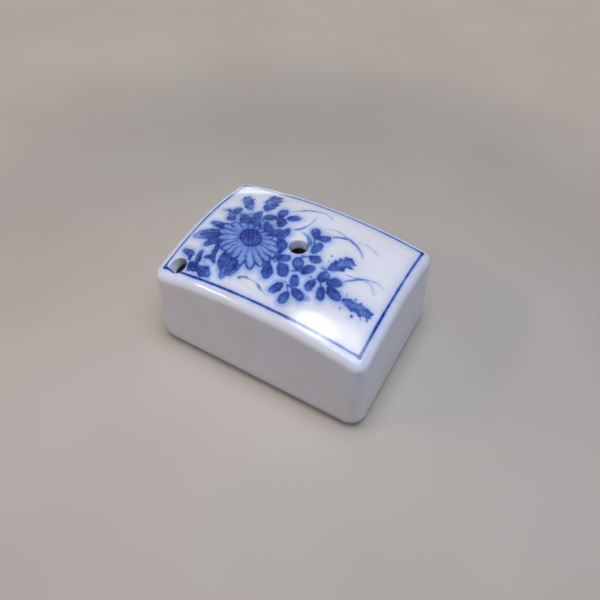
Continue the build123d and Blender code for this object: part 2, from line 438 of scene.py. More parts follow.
shell = Clay()
rolled = list(rolled_rings(outside, ROLL_START, ROLL_RINGS))
inner_rolled = list(rolled_rings(cavity, INNER_ROLL_START, INNER_ROLL_RINGS))
edge, inner_edge = shell.bands([
    *rolled,
    *wall_rings(outside, [rolled[-1][:, 2] - HOLD, *WALL_HEIGHTS, base_top + HOLD, base_top]),
    *base_rings(base_roll, seam_top, 2),
    *wall_rings(cavity, [seam_top, INNER_WALL_HEIGHT]),
    *inner_rolled[::-1],
])
print("walls and rolls have", len(shell.faces), "quads")

# %% Shell's roof
PAINT_STEP = 0.21            # mm between vertices under the painting
FINE_MARGIN = 1.4            # mm past the core that the fine grid reaches
FINE_CORNER = 1.45           # mm past the core at which its corners are cut round
COARSER = (1.6, 1.85, 2.05)  # mm past the core, rings from the fine grid to the roll
INNER_STEP, INNER_MARGIN = 1.2, 2.0
CLEARANCE, INNER_CLEARANCE = 0.12, 0.3        # mm from a sheet's edges to its filling

holes = [shell.bands(hole_rings(bore)) for bore in bores]
fine = plan_grid(outside.core + FINE_MARGIN, PAINT_STEP)
away = np.linalg.norm(fine - np.clip(fine, -outside.core, outside.core), axis=1)
coarser = [ring(outside.core, out, 0)[:, :2] for out in COARSER]
shell.sheet(edge, [first for first, _ in holes], np.concatenate([fine[away < FINE_CORNER], *coarser]),
            outside.height, CLEARANCE)
shell.sheet(inner_edge, [last for _, last in holes], plan_grid(cavity.core + INNER_MARGIN, INNER_STEP),
            cavity.height, INNER_CLEARANCE)
porcelain_shell = shell.build("porcelain_shell")
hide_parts("upper_shell", *[n for n in frame["nodes"] if n.startswith("painted_")])

# %% [markdown]
# ## The slip seam
# Shell and floor were scored, wetted with slip and pressed together. Outside, the slip was wiped flush with
# the wall. Inside, where no tool reaches, it stands as a small bead. It could be left out or drawn as a line
# on the clay, but it is what holds the block together, so it is a thin piece made from the same rings.

# %% Seam
SEAM_RINGS = 3               # across the wiped face
BEAD_RINGS = 5               # over the bead's rounding

seam = Clay()
bead_face = cavity.wall_at(seam_top) - bead
bead_arc = [(bead_face + bead_roll * (1 - math.cos(a)), seam_top + bead - bead_roll * (1 - math.sin(a)))
            for a in np.linspace(0, math.pi / 2, BEAD_RINGS)]
start, last = seam.bands([
    *base_rings(seam_top, slab_thickness, SEAM_RINGS),
    ring(cavity.core, bead_face, slab_thickness),
    *[ring(cavity.core, out, z) for out, z in bead_arc],
    *wall_rings(cavity, [seam_top + bead, seam_top]),
])
seam.bands([last, start])
slip_seam = seam.build("slip_seam")
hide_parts("luting_seam")

# %% [markdown]
# ## The floor
# The floor is a slab with a shallow recess underneath, scraped out so that the block stands on a rim and
# doesn't rock. The rim was wiped clean of glaze, or it would have stuck to the kiln shelf. A slab could be a
# scaled cube, but its edge is the lower part of the roll between wall and foot, so it is made of rings too,
# with one lid inside the block and one in the recess.

# %% Floor slab
FOOT_RINGS = 14              # down the roll from the seam to the desk
SOFT_EDGE = 0.15             # mm, the scraped edge of the recess, rubbed with a wet sponge

floor = Clay()
recess_core = np.array([foot_length, foot_width]) / 2 - base_roll - foot_rim - recess_corner
top, recess = floor.bands([
    *base_rings(slab_thickness, 0, FOOT_RINGS),
    ring(recess_core, recess_corner + SOFT_EDGE, 0),
    ring(recess_core, recess_corner + SOFT_EDGE / 3, SOFT_EDGE / 3),
    ring(recess_core, recess_corner, SOFT_EDGE),
    ring(recess_core, recess_corner, foot_recess),
])
floor.lid(top)
floor.lid(recess)
floor_slab = floor.build("porcelain_floor_slab")
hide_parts("base_slab")
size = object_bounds()
print("dressed box in mm", in_mm(size[1] - size[0]))

# %% [markdown]
# ## The drawing
# The roof was painted on the raw, dry clay with a soft brush and cobalt oxide in water. Such paint can't be
# wiped off, so it keeps every touch: a stroke is dark where the brush was full or stopped and pale where it
# ran dry, and in the kiln the blue spreads a little into the glaze. One could paint all this by hand in
# texture paint, but then no stroke could be moved or changed. Here a stroke is a distance in the plan.
# Inside that distance its ink is laid on the roof's vertices; outside, a faint blue bleeds away from it.

# %% The painted field
LINE = 0.55                  # mm, the border's brush

line_low, line_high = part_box("painted_border_line")
field_low = np.array(line_low[:2]) / MM + LINE / 2
field_high = np.array(line_high[:2]) / MM - LINE / 2
FIELD = field_high[0] - field_low[0]          # mm; places and widths in the drawing are shares of it
print("the border runs round", round(FIELD, 2), "by", round(field_high[1] - field_low[1], 2), "mm")

# %% The painter's hand
WOBBLES = ((0.055, 3.3), (0.022, 1.5))        # mm, how far and how often a brushed edge strays
WOBBLE_TURNS = (0.4, 2.5, 4.6)                # radians, the directions in which its waves run
OUT_OF_STEP = 1.3            # how much faster it strays across the plan than along it
CURVE_STEPS = 7              # between two places that a stroke goes through


def wobble(points):
    """How far a hand-held brush strays at points of the plan, in millimetres."""
    stray = np.zeros_like(points)
    for reach, length in WOBBLES:
        for turn in WOBBLE_TURNS:
            wave = points @ (math.cos(turn), math.sin(turn)) * 2 * math.pi / length
            stray += reach * np.stack([np.sin(wave + turn), np.cos(OUT_OF_STEP * wave - turn)], -1)
    return stray


def curve(places):
    """Points on a smooth curve through some places, and how far along each lies."""
    places = np.array(places, float)
    padded = np.concatenate([2 * places[:1] - places[1:2], places, 2 * places[-1:] - places[-2:-1]])
    path, shares = [], []
    for i in range(len(places) - 1):
        a, b, c, d = padded[i:i + 4]
        for t in np.arange(CURVE_STEPS) / CURVE_STEPS:
            path.append(0.5 * (2 * b + (c - a) * t + (2 * a - 5 * b + 4 * c - d) * t**2
                               + (3 * b - a - 3 * c + d) * t**3))
            shares.append((i + t) / (len(places) - 1))
    return np.array(path + [places[-1]]), shares


strays = np.linalg.norm(wobble(plan_grid(outside.core, 1.0)), axis=1)
print("the brush strays by", round(strays.mean(), 2), "mm on average and", round(strays.max(), 2), "at most")

# %% Cobalt
SOFT, FINE_SOFT = 0.62, 0.3  # mm, over which the edge of a stroke fades, and of a fine line
BLEED_REACH = 1.0            # mm, over which the blue that bleeds from a stroke falls to about a third
BLEED_INK = 0.38             # cobalt that bleeds from a full stroke
THIN_BLEED = 0.14            # and from dots, dabs and thin lines
RIM_DEPTH, RIM_WIDTH = 0.25, 0.3              # mm: how far inside its edge a touch dries darkest, how wide
REACH = 0.06                 # share of the field round a stroke that it may colour
NO_SHARE = 1e-6              # share, where a direction can't be told


class Cobalt:
    """How much cobalt lies at each point of the plan. Places are shares of the field, from its middle."""

    def __init__(self, points):
        self.ruled = points / FIELD
        self.points = self.ruled + wobble(points) / FIELD
        self.ink = np.zeros(len(points))
        self.bleed = np.zeros(len(points))

    def lay(self, near, distance, ink, over=False, soft=SOFT, bleed=BLEED_INK):
        """Lays ink where the distance, in millimetres, is below zero."""
        cover = np.clip(0.5 - distance / soft, 0, 1)
        cover = cover * cover * (3 - 2 * cover)
        old = self.ink[near]
        new = old + cover * (ink - old)
        self.ink[near] = new if over else np.maximum(old, new)
        bled = bleed * np.clip(ink, 0, 1) * np.exp(-np.maximum(distance, 0) / BLEED_REACH)
        self.bleed[near] = np.maximum(self.bleed[near], bled)

    def close_to(self, places, reach):
        """Numbers of the points that a stroke may touch."""
        places = np.array(places)
        inner = (self.points > places.min(0) - reach) & (self.points < places.max(0) + reach)
        return np.nonzero(inner.all(1))[0]

    def oval(self, root, tip, width, inks, rim=0.0, egg=0.0, **touch):
        """A touch of the brush from a root to a tip, its ink changing on the way and at its rim."""
        root, tip = np.array(root), np.array(tip)
        near = self.close_to([root, tip], width + REACH)
        axis = (tip - root) / 2
        half = np.linalg.norm(axis)
        axis /= half
        offset = self.points[near] - (root + tip) / 2
        along = offset @ axis
        across = offset @ np.array([-axis[1], axis[0]])
        breadth = width / 2 * (1 + egg * np.clip(along / half, -1, 1))
        size = np.hypot(along / half, across / breadth) + NO_SHARE
        slope = np.hypot(along / half**2, across / breadth**2) / size + NO_SHARE
        distance = (size - 1) / slope * FIELD
        ink = np.interp(along / half, np.linspace(-1, 1, len(inks)), inks)
        ink = ink + rim * np.exp(-np.abs(distance + RIM_DEPTH) / RIM_WIDTH)
        self.lay(near, distance, ink, **touch)

    def stroke(self, places, widths, inks, **touch):
        """A drawn line through some places, with a width and an ink at each."""
        path, shares = curve(places)
        stops = np.linspace(0, 1, len(places))
        near = self.close_to(path, REACH)
        distance = np.full(len(near), np.inf)
        ink = np.zeros(len(near))
        for start, end, share in zip(path, path[1:], shares):
            step = end - start
            offset = self.points[near] - start
            foot = np.clip(offset @ step / (step @ step), 0, 1)
            width = np.interp(share, stops, widths)
            found = (np.linalg.norm(offset - foot[:, None] * step, axis=1) - width / 2) * FIELD
            closer = found < distance
            distance[closer] = found[closer]
            ink[closer] = np.interp(share, stops, inks)
        self.lay(near, distance, ink, **touch)

    def dots(self, places, size, ink):
        """Small round touches."""
        for along, across in places:
            start, end = (along - size / 2, across), (along + size / 2, across)
            self.oval(start, end, size, (ink, ink), bleed=THIN_BLEED)


print("one millimetre from a full stroke lies", round(BLEED_INK / math.e, 2), "of its cobalt")

# %% [markdown]
# ## Leaves behind the flower
# The painter works from back to front. First come pale washes, where the brush was only wet. Serrated leaves
# stand out behind the petals; each lobe is one press of the brush, dark at the root where it was set down,
# with veins drawn in while it was wet. A leaf could be one outline with teeth, but a press for each lobe
# gives the darker roots and overlaps that show how it was painted.

# %% Leaves
# Each touch: root, tip, width, and the ink at the root, the middle and the tip.
LEAF_TOUCHES = (
    ((-0.350, -0.030), (-0.462, -0.018), 0.046, (0.92, 0.74, 0.45)),
    ((-0.360, -0.065), (-0.488, -0.134), 0.072, (0.95, 0.78, 0.30)),
    ((-0.345, -0.100), (-0.312, -0.168), 0.046, (0.90, 0.84, 0.90)),
    ((-0.345, -0.065), (-0.392, -0.172), 0.060, (0.95, 0.84, 0.55)),
    ((-0.255, -0.150), (-0.238, -0.258), 0.070, (0.95, 0.86, 0.62)),
    ((-0.225, -0.165), (-0.205, -0.304), 0.066, (0.95, 0.80, 0.45)),
    ((-0.175, -0.165), (-0.184, -0.276), 0.056, (0.95, 0.80, 0.62)),
    ((-0.090, -0.005), (-0.085, 0.099), 0.050, (0.97, 0.90, 0.72)),
    ((-0.130, -0.005), (-0.116, 0.074), 0.044, (0.97, 0.92, 0.80)),
    ((-0.130, 0.000), (-0.208, 0.088), 0.050, (0.97, 0.88, 0.74)),
    ((-0.090, 0.015), (-0.028, -0.048), 0.054, (0.97, 0.88, 0.66)),
    ((-0.080, -0.112), (-0.046, -0.186), 0.044, (0.90, 0.84, 0.72)),
    ((-0.058, -0.070), (-0.030, -0.128), 0.036, (0.80, 0.62, 0.58)),
    ((-0.250, 0.020), (-0.352, 0.090), 0.056, (0.95, 0.86, 0.72)),
    ((-0.215, 0.020), (-0.262, 0.080), 0.052, (0.95, 0.86, 0.72)),
    ((-0.300, 0.030), (-0.330, 0.072), 0.040, (0.92, 0.84, 0.70)),
    ((-0.273, 0.074), (-0.273, 0.148), 0.050, (0.90, 0.72, 0.66)),
    ((-0.385, 0.070), (-0.383, 0.134), 0.050, (0.92, 0.84, 0.74)),
    ((-0.330, 0.060), (-0.300, 0.112), 0.044, (0.60, 0.52, 0.46)),
    ((-0.240, 0.060), (-0.236, 0.104), 0.044, (0.62, 0.56, 0.50)),
    ((-0.368, 0.022), (-0.398, 0.074), 0.046, (0.94, 0.80, 0.66)),
)
LEAF_WIDTH, LEAF_INK = 0.94, 0.86             # of the brush that painted them, against the touches above
LEAF_RIM, LEAF_EGG = 0.12, -0.1               # darker at the rim, fuller near the root

LEAF_VEINS = (
    ((-0.365, -0.037), (-0.440, -0.022)), ((-0.370, -0.070), (-0.455, -0.112)),
    ((-0.360, -0.080), (-0.385, -0.145)), ((-0.243, -0.170), (-0.236, -0.245)),
    ((-0.222, -0.180), (-0.208, -0.270)), ((-0.178, -0.190), (-0.182, -0.255)),
    ((-0.236, -0.205), (-0.262, -0.225)), ((-0.216, -0.225), (-0.242, -0.262)),
    ((-0.192, -0.215), (-0.172, -0.240)), ((-0.088, 0.010), (-0.085, 0.080)),
    ((-0.085, 0.010), (-0.040, -0.036)), ((-0.273, 0.088), (-0.273, 0.130)),
    ((-0.384, 0.085), (-0.383, 0.126)), ((-0.280, 0.045), (-0.335, 0.080)),
)
VEIN_WIDTHS, VEIN_INKS = (0.008, 0.005), (1.0, 0.9)

STEMS = (
    ((-0.326, -0.150), (-0.320, -0.182), (-0.312, -0.218)),
    ((-0.338, -0.222), (-0.312, -0.214), (-0.286, -0.236)),
    ((-0.060, -0.038), (-0.046, -0.052), (-0.042, -0.070)),
)
STEM_WIDTHS, STEM_INKS = (0.022, 0.030, 0.016), (0.9, 0.85, 0.7)

# Water and a little cobalt behind the leaves: root, tip, width and ink.
WASHES = (
    ((-0.400, 0.062), (-0.110, 0.060), 0.130, 0.34), ((-0.420, -0.075), (-0.300, -0.120), 0.100, 0.30),
    ((-0.060, -0.080), (0.130, -0.090), 0.120, 0.16), ((-0.400, -0.250), (-0.300, -0.290), 0.090, 0.24),
    ((0.060, 0.120), (0.110, 0.010), 0.080, 0.16), ((0.180, -0.110), (0.300, -0.130), 0.110, 0.16),
)
WASH_SOFT = 2.2              # mm


def paint_leaves(cobalt):
    """Washes, the serrated leaves round the flower, and their veins and stems."""
    for root, tip, width, ink in WASHES:
        cobalt.oval(root, tip, width, (ink, ink), soft=WASH_SOFT, bleed=0)
    for root, tip, width, inks in LEAF_TOUCHES:
        cobalt.oval(root, tip, LEAF_WIDTH * width, LEAF_INK * np.array(inks), rim=LEAF_RIM, egg=LEAF_EGG)
    for vein in LEAF_VEINS:
        cobalt.stroke(vein, VEIN_WIDTHS, VEIN_INKS, soft=FINE_SOFT)
    for stem in STEMS:
        cobalt.stroke(stem, STEM_WIDTHS, STEM_INKS)


print(len(LEAF_TOUCHES), "touches and", len(LEAF_VEINS), "veins make the leaves")

# %% [markdown]
# ## The chrysanthemum
# One sees into the flower from above: a dark heart, hatched crosswise, and about twenty petals that fan out
# from it, longer towards the viewer. A petal is an outline filled with a thin wash, and the gaps between the
# petals are full of dark cobalt. The petals could be turned copies of one, but a painter makes each anew, so
# each has a tip and a width of its own and grows from the heart's edge.

# %% Petals
HEART = np.array((-0.213, -0.041))
HEART_SIZE = (0.130, 0.094)
HEART_TURN = math.radians(-30)

# Each petal: where its tip is, and its width.
PETAL_TIPS = (
    (-0.388, -0.014, 0.024), (-0.383, -0.058, 0.025), (-0.358, -0.101, 0.026), (-0.326, -0.141, 0.026),
    (-0.296, -0.162, 0.025), (-0.261, -0.172, 0.025), (-0.220, -0.182, 0.026), (-0.170, -0.206, 0.028),
    (-0.112, -0.203, 0.029), (-0.077, -0.170, 0.026), (-0.057, -0.133, 0.025), (-0.047, -0.098, 0.024),
    (-0.052, -0.062, 0.023), (-0.078, -0.026, 0.021), (-0.118, 0.004, 0.018), (-0.151, 0.024, 0.016),
    (-0.188, 0.036, 0.016), (-0.226, 0.041, 0.017), (-0.266, 0.040, 0.019), (-0.308, 0.031, 0.021),
    (-0.350, 0.013, 0.023),
)
PETAL_WIDTH, PETAL_EGG = 1.12, 0.34           # against the widths above, fuller towards the tip
PETAL_ROOT = 0.92            # of the heart's radius
OUTLINE_LENGTH, WASH_LENGTH, CREASE_LENGTH = 1.04, 0.96, 0.6        # against the petal's own
OUTLINE, OUTLINE_INKS = 0.014, (0.50, 0.68, 0.80, 0.90)             # wider than the wash, darker outwards
WASH_ROOT, WASH_PALE, WASH_DIP = 0.46, 0.32, 0.02      # ink: at the root, outwards, less in between
WASH_SHORT = 0.20            # more ink in a short petal
LONG_PETAL = 0.15            # length from which a wash is as pale as it gets
CREASE_WIDTHS, CREASE_INKS = (0.005, 0.003), (0.50, 0.28)
GAP_LENGTH, GAP_WIDTH, GAP_EGG, GAP_INKS = 0.90, 1.9, 0.5, (0.9, 0.92, 0.95)      # against each petal


def heart_frame(points):
    """Points seen from the heart, along its long and short axis."""
    offset = points - HEART
    cos, sin = math.cos(HEART_TURN), math.sin(HEART_TURN)
    return np.stack([offset @ (cos, sin), offset @ (-sin, cos)], -1) / (np.array(HEART_SIZE) / 2)


def paint_petals(cobalt):
    """The dark gaps between the petals, then each petal's outline, wash and crease."""
    tips = [(np.array((along, across)), width) for along, across, width in PETAL_TIPS]
    for tip, width in tips:
        cobalt.oval(HEART, HEART + GAP_LENGTH * (tip - HEART), GAP_WIDTH * width, GAP_INKS, egg=GAP_EGG)
    for tip, width in tips:
        root = HEART + (tip - HEART) / np.linalg.norm(heart_frame(tip)) * PETAL_ROOT
        petal = tip - root
        wash = PETAL_WIDTH * width
        pale = WASH_PALE + WASH_SHORT * (1 - min(np.linalg.norm(petal) / LONG_PETAL, 1))
        pales = (WASH_ROOT, pale, pale - WASH_DIP, pale)
        cobalt.oval(root, root + OUTLINE_LENGTH * petal, wash + OUTLINE, OUTLINE_INKS, egg=PETAL_EGG,
                    over=True)
        cobalt.oval(root, root + WASH_LENGTH * petal, wash, pales, egg=PETAL_EGG, over=True)
        cobalt.stroke((root, root + CREASE_LENGTH * petal), CREASE_WIDTHS, CREASE_INKS, soft=FINE_SOFT)


print(len(PETAL_TIPS), "petals")

# %% The flower's heart
HEART_BOX = 0.08             # share of the field, half of a box that holds the heart
HATCH = 0.0185               # share between its hatching lines
HATCH_AXES = np.array(((0.868, -0.497), (0.497, 0.868)))     # square to the two sets of lines
HATCH_PALE, HATCHED = 0.36, 0.86              # how much paler they are, and the share of the heart with them
HEART_SOFT = 0.6             # mm


def paint_heart(cobalt):
    """The dark heart, with paler hatching crosswise."""
    near = cobalt.close_to([HEART - HEART_BOX, HEART + HEART_BOX], 0)
    size = np.linalg.norm(heart_frame(cobalt.points[near]), axis=-1)
    distance = (size - 1) * min(HEART_SIZE) / 2 * FIELD
    turned = (cobalt.points[near] - HEART) @ HATCH_AXES
    lines = np.cos(2 * math.pi * turned / HATCH).max(axis=1)
    ink = 1.0 - HATCH_PALE * np.clip(lines, 0, 1) ** 3 * (size < HATCHED)
    cobalt.lay(near, distance, ink, over=True, soft=HEART_SOFT)


print("the heart is", [round(side * FIELD, 1) for side in HEART_SIZE], "mm across")

# %% [markdown]
# ## Clover leaves, corner leaf and buds
# The bush clover has leaves in threes, each a plump oval from a brush pressed and lifted. They are darker
# round the edge, where the water left its cobalt when it dried, and paler along the middle. Copies of one
# leaf would look printed, so each has its own place, width and load of ink. The leaf at the corner is built
# up from presses, like the leaves behind the flower.

# %% Clover
CLOVER_TOUCHES = (
    ((-0.165, 0.142), (-0.178, 0.218), 0.052, (0.92, 0.72, 0.70)),
    ((-0.132, 0.150), (-0.076, 0.198), 0.050, (0.90, 0.76, 0.50)),
    ((-0.172, 0.136), (-0.240, 0.112), 0.050, (0.92, 0.84, 0.66)),
    ((-0.165, 0.150), (-0.120, 0.086), 0.052, (0.95, 0.86, 0.78)),
    ((0.055, 0.098), (0.021, 0.165), 0.050, (0.95, 0.72, 0.58)),
    ((0.060, 0.100), (0.118, 0.136), 0.046, (0.92, 0.84, 0.62)),
    ((0.088, 0.004), (0.093, 0.086), 0.050, (0.94, 0.60, 0.56)),
    ((0.088, -0.022), (0.150, -0.018), 0.053, (0.95, 0.74, 0.58)),
    ((0.104, -0.122), (0.133, -0.058), 0.050, (0.92, 0.76, 0.62)),
    ((0.085, -0.116), (0.044, -0.050), 0.054, (0.92, 0.72, 0.66)),
    ((-0.038, -0.100), (0.020, -0.070), 0.050, (0.92, 0.78, 0.70)),
    ((-0.010, -0.114), (0.050, -0.172), 0.058, (0.94, 0.78, 0.66)),
    ((-0.052, -0.141), (-0.020, -0.222), 0.054, (0.96, 0.84, 0.70)),
    ((0.083, -0.140), (0.111, -0.201), 0.045, (0.90, 0.62, 0.72)),
    ((0.168, -0.122), (0.164, -0.190), 0.044, (0.94, 0.80, 0.66)),
    ((0.211, -0.138), (0.242, -0.204), 0.042, (0.94, 0.82, 0.66)),
    ((0.059, -0.203), (0.028, -0.271), 0.048, (0.94, 0.82, 0.60)),
    ((0.100, -0.230), (0.098, -0.298), 0.049, (0.94, 0.78, 0.72)),
    ((0.109, -0.208), (0.176, -0.240), 0.048, (0.96, 0.86, 0.70)),
    ((0.190, -0.124), (0.203, -0.053), 0.051, (0.94, 0.78, 0.60)),
    ((0.220, -0.112), (0.281, -0.073), 0.053, (0.95, 0.80, 0.62)),
    ((0.234, -0.128), (0.312, -0.160), 0.053, (0.96, 0.86, 0.74)),
)
CLOVER_WIDTH, CLOVER_INK = 0.95, 0.92         # against the touches above
CLOVER_RIM, CLOVER_EGG = 0.11, 0.08

CLOVER_STEMS = (
    ((-0.160, 0.148), (-0.140, 0.140), (-0.115, 0.120)), ((0.052, 0.098), (0.060, 0.080), (0.075, 0.040)),
    ((-0.022, -0.108), (-0.012, -0.122), (-0.004, -0.132)),
    ((0.062, -0.128), (0.085, -0.118), (0.110, -0.118)),
    ((0.078, -0.203), (0.088, -0.216), (0.098, -0.228)),
    ((0.083, -0.203), (0.100, -0.206), (0.116, -0.212)),
    ((0.200, -0.124), (0.208, -0.134), (0.218, -0.148)),
    ((0.160, -0.126), (0.178, -0.116), (0.205, -0.116)),
    ((0.058, -0.030), (0.068, -0.030), (0.078, -0.026)),
    ((0.055, -0.045), (0.075, -0.030), (0.100, -0.010)),
    ((0.170, -0.045), (0.185, -0.050), (0.205, -0.040)),
)
CLOVER_STEM_WIDTHS, CLOVER_STEM_INKS = (0.008, 0.007, 0.007), (0.70, 0.75, 0.70)
CLOVER_STEM_SOFT = 0.45      # mm


def paint_clover(cobalt):
    """Round leaves in threes, on thin stems."""
    for root, tip, width, inks in CLOVER_TOUCHES:
        cobalt.oval(root, tip, CLOVER_WIDTH * width, CLOVER_INK * np.array(inks), rim=CLOVER_RIM,
                    egg=CLOVER_EGG)
    for stem in CLOVER_STEMS:
        cobalt.stroke(stem, CLOVER_STEM_WIDTHS, CLOVER_STEM_INKS, soft=CLOVER_STEM_SOFT)


print(len(CLOVER_TOUCHES), "clover leaves on", len(CLOVER_STEMS), "stems")

# %% Corner leaf and buds
CORNER_TOUCHES = (
    ((-0.398, -0.280), (-0.330, -0.300), 0.052, (0.95, 0.90, 0.84)),
    ((-0.350, -0.286), (-0.262, -0.308), 0.054, (0.92, 0.84, 0.62)),
    ((-0.384, -0.192), (-0.360, -0.284), 0.030, (0.70, 0.84, 0.92)),
    ((-0.390, -0.268), (-0.372, -0.324), 0.034, (0.92, 0.84, 0.66)),
    ((-0.312, -0.282), (-0.300, -0.330), 0.042, (0.90, 0.82, 0.66)),
    ((-0.474, -0.222), (-0.398, -0.234), 0.040, (0.66, 0.86, 0.62)),
    ((-0.428, -0.226), (-0.404, -0.272), 0.022, (0.90, 0.90, 0.70)),
    ((-0.310, -0.270), (-0.282, -0.292), 0.030, (0.85, 0.80, 0.60)),
)
CORNER_WIDTH, CORNER_INK, CORNER_RIM = 0.92, 0.85, 0.14      # against the touches above

CORNER_VEINS = (((-0.392, -0.283), (-0.340, -0.292), (-0.285, -0.304)),
    ((-0.374, -0.215), (-0.366, -0.250), (-0.362, -0.282)))
CORNER_VEIN_WIDTHS, CORNER_VEIN_INKS = (0.010, 0.007, 0.005), (1.0, 1.0, 0.9)

PALE_TOUCHES = (
    ((0.150, -0.232), (0.208, -0.218), 0.030, (0.45, 0.36, 0.18)),
    ((-0.285, -0.318), (-0.245, -0.322), 0.022, (0.35, 0.30, 0.12)),
)
BUDS, BUD_SIZE, BUD_INK = ((0.065, -0.195), (0.150, -0.118)), 0.010, 0.7


def paint_corner_leaf(cobalt):
    """The leaf in the front left corner, two touches of a dry brush, and two buds."""
    for root, tip, width, inks in CORNER_TOUCHES:
        cobalt.oval(root, tip, CORNER_WIDTH * width, CORNER_INK * np.array(inks), rim=CORNER_RIM)
    for vein in CORNER_VEINS:
        cobalt.stroke(vein, CORNER_VEIN_WIDTHS, CORNER_VEIN_INKS, soft=FINE_SOFT)
    for root, tip, width, inks in PALE_TOUCHES:
        cobalt.oval(root, tip, width, inks)
    cobalt.dots(BUDS, BUD_SIZE, BUD_INK)


print(len(CORNER_TOUCHES), "touches make the corner leaf")

# %% [markdown]
# ## Flower spikes and grass
# Flower spikes are rows of short dabs on both sides of a stalk, with a few buds flicked off beside them.
# Blades of grass are single fast strokes: wet and blue where they begin, dry and nearly gone where they end.
# Dabs that all lean and weigh the same would look stamped, so a loop sets them and lets both vary a little.

# %% Spikes
# Each spike: root, tip, width, and the dots beside it.
SPIKES = (
    ((-0.328, 0.134), (-0.414, 0.232), 0.062, (
        (-0.420, 0.182), (-0.315, 0.135), (-0.340, 0.150), (-0.372, 0.212))),
    ((-0.252, 0.156), (-0.276, 0.296), 0.084, (
        (-0.305, 0.275), (-0.290, 0.250), (-0.245, 0.262), (-0.230, 0.230),
        (-0.225, 0.200), (-0.305, 0.225))),
    ((0.194, -0.045), (0.260, 0.058), 0.074, (
        (0.215, 0.045), (0.235, 0.050), (0.260, 0.066), (0.170, 0.038),
        (0.175, 0.000), (0.200, 0.020))),
    ((0.316, -0.150), (0.456, -0.154), 0.062, (
        (0.325, -0.115), (0.370, -0.120), (0.395, -0.120), (0.445, -0.158),
        (0.330, -0.190), (0.390, -0.198), (0.430, -0.192), (0.455, -0.182))),
)
CORE_WIDTH, CORE_INKS = 0.70, (0.72, 0.54, 0.50, 0.54)       # the wet stroke under the dabs
DABS = 7                     # pairs of dabs along a spike
FIRST_DAB, DAB_RUN = 0.10, 0.84               # shares of the stalk
FULL_START, FULL_RUN = 0.22, 0.62             # the part of half a wave that their lengths follow
DAB_LEAN = math.radians(42)
DAB_WIDTH, DAB_ROOT, DAB_ROOT_INK = 0.24, 0.05, 0.50         # against the spike's width; the root's ink
DAB_LENGTH, DAB_INK = (0.72, 0.12), (0.62, 0.14)             # each with how much it varies
DAB_DARKER = 0.08            # ink that a dab's tip has more than its middle
DAB_SOFT = 0.45              # mm
DOT_SIZES, DOT_INKS = (0.008, 0.012), (0.40, 0.54, 0.68)


def paint_spike(cobalt, root, tip, width, dots):
    """A stalk with dabs on both sides, longest near its middle, and some dots."""
    root, tip = np.array(root), np.array(tip)
    axis = (tip - root) / np.linalg.norm(tip - root)
    cobalt.oval(root, tip, CORE_WIDTH * width, CORE_INKS)
    for i in range(DABS):
        share = FIRST_DAB + DAB_RUN * i / (DABS - 1)
        full = math.sin(math.pi * (FULL_START + FULL_RUN * share))
        for side in (1, -1):
            cos, sin = math.cos(side * DAB_LEAN), math.sin(side * DAB_LEAN)
            lean = axis @ np.array(((cos, sin), (-sin, cos)))
            start = root + share * (tip - root) - DAB_ROOT * width * lean
            ink = DAB_INK[0] + DAB_INK[1] * math.sin(5 * i + 2 * side)
            length = (DAB_LENGTH[0] + DAB_LENGTH[1] * math.sin(3 * i + side)) * width * full
            inks = (DAB_ROOT_INK, ink, ink + DAB_DARKER)
            cobalt.oval(start, start + length * lean, DAB_WIDTH * width, inks, soft=DAB_SOFT,
                        bleed=THIN_BLEED)
    for i, dot in enumerate(dots):
        cobalt.dots([dot], DOT_SIZES[i % 2], DOT_INKS[i % 3])


print(len(SPIKES), "spikes with", 2 * DABS, "dabs each")

